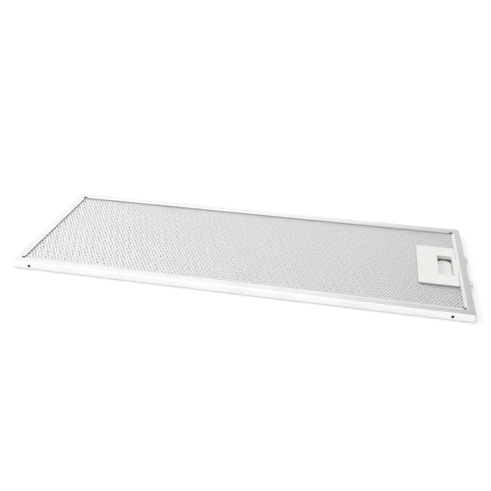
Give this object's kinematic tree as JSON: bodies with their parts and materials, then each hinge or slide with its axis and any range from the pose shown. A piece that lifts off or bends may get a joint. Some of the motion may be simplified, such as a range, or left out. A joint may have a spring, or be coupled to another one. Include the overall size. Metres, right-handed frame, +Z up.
{
  "type": "cooker hood grease filter",
  "caption": "Slim rectangular aluminium mesh grease filter cassette with a folded frame and a spring-loaded slide latch set in one end.",
  "frame": {"origin": "centre of the frame's underside, midway between the two ends of the frame", "axes": "+X along the cassette towards the latch end, +Y across it towards the back long side, +Z up, out of the face that carries the latch"},
  "size_m": [0.464, 0.174, 0.0085],
  "materials": {
    "frame_aluminium": "satin rolled strip",
    "key_aluminium": "mill finish",
    "face_mesh_aluminium": "bright expanded sheet",
    "inner_mesh_aluminium": "bright expanded foil",
    "cover_plastic": "fine satin moulding",
    "base_plastic": "satin moulding",
    "slider_plastic": "satin moulding",
    "spring_steel": "drawn wire"
  },
  "bodies": {
    "cassette": {"front_rail": "frame_aluminium", "back_rail": "frame_aluminium", "plain_end_rail": "frame_aluminium", "latch_end_rail": "frame_aluminium", "corner_key_front_left": "key_aluminium", "corner_key_front_right": "key_aluminium", "corner_key_back_left": "key_aluminium", "corner_key_back_right": "key_aluminium", "upper_face_mesh": "face_mesh_aluminium", "lower_face_mesh": "face_mesh_aluminium", "inner_mesh_1": "inner_mesh_aluminium", "inner_mesh_2": "inner_mesh_aluminium", "inner_mesh_3": "inner_mesh_aluminium", "inner_mesh_4": "inner_mesh_aluminium", "inner_mesh_5": "inner_mesh_aluminium", "inner_mesh_6": "inner_mesh_aluminium", "latch_cover": "cover_plastic", "latch_base": "base_plastic", "latch_spring_front": "spring_steel", "latch_spring_back": "spring_steel"},
    "slider": {"latch_slider": "slider_plastic"}
  },
  "joints": [
    {"name": "latch_slide", "type": "slide", "parent": "cassette", "child": "slider", "axis": [-1, 0, 0], "range_m": [0, 0.0045], "stiffness_N_per_m": 700, "springref_m": -0.004, "deforming": ["latch_spring_front", "latch_spring_back"]}
  ]
}
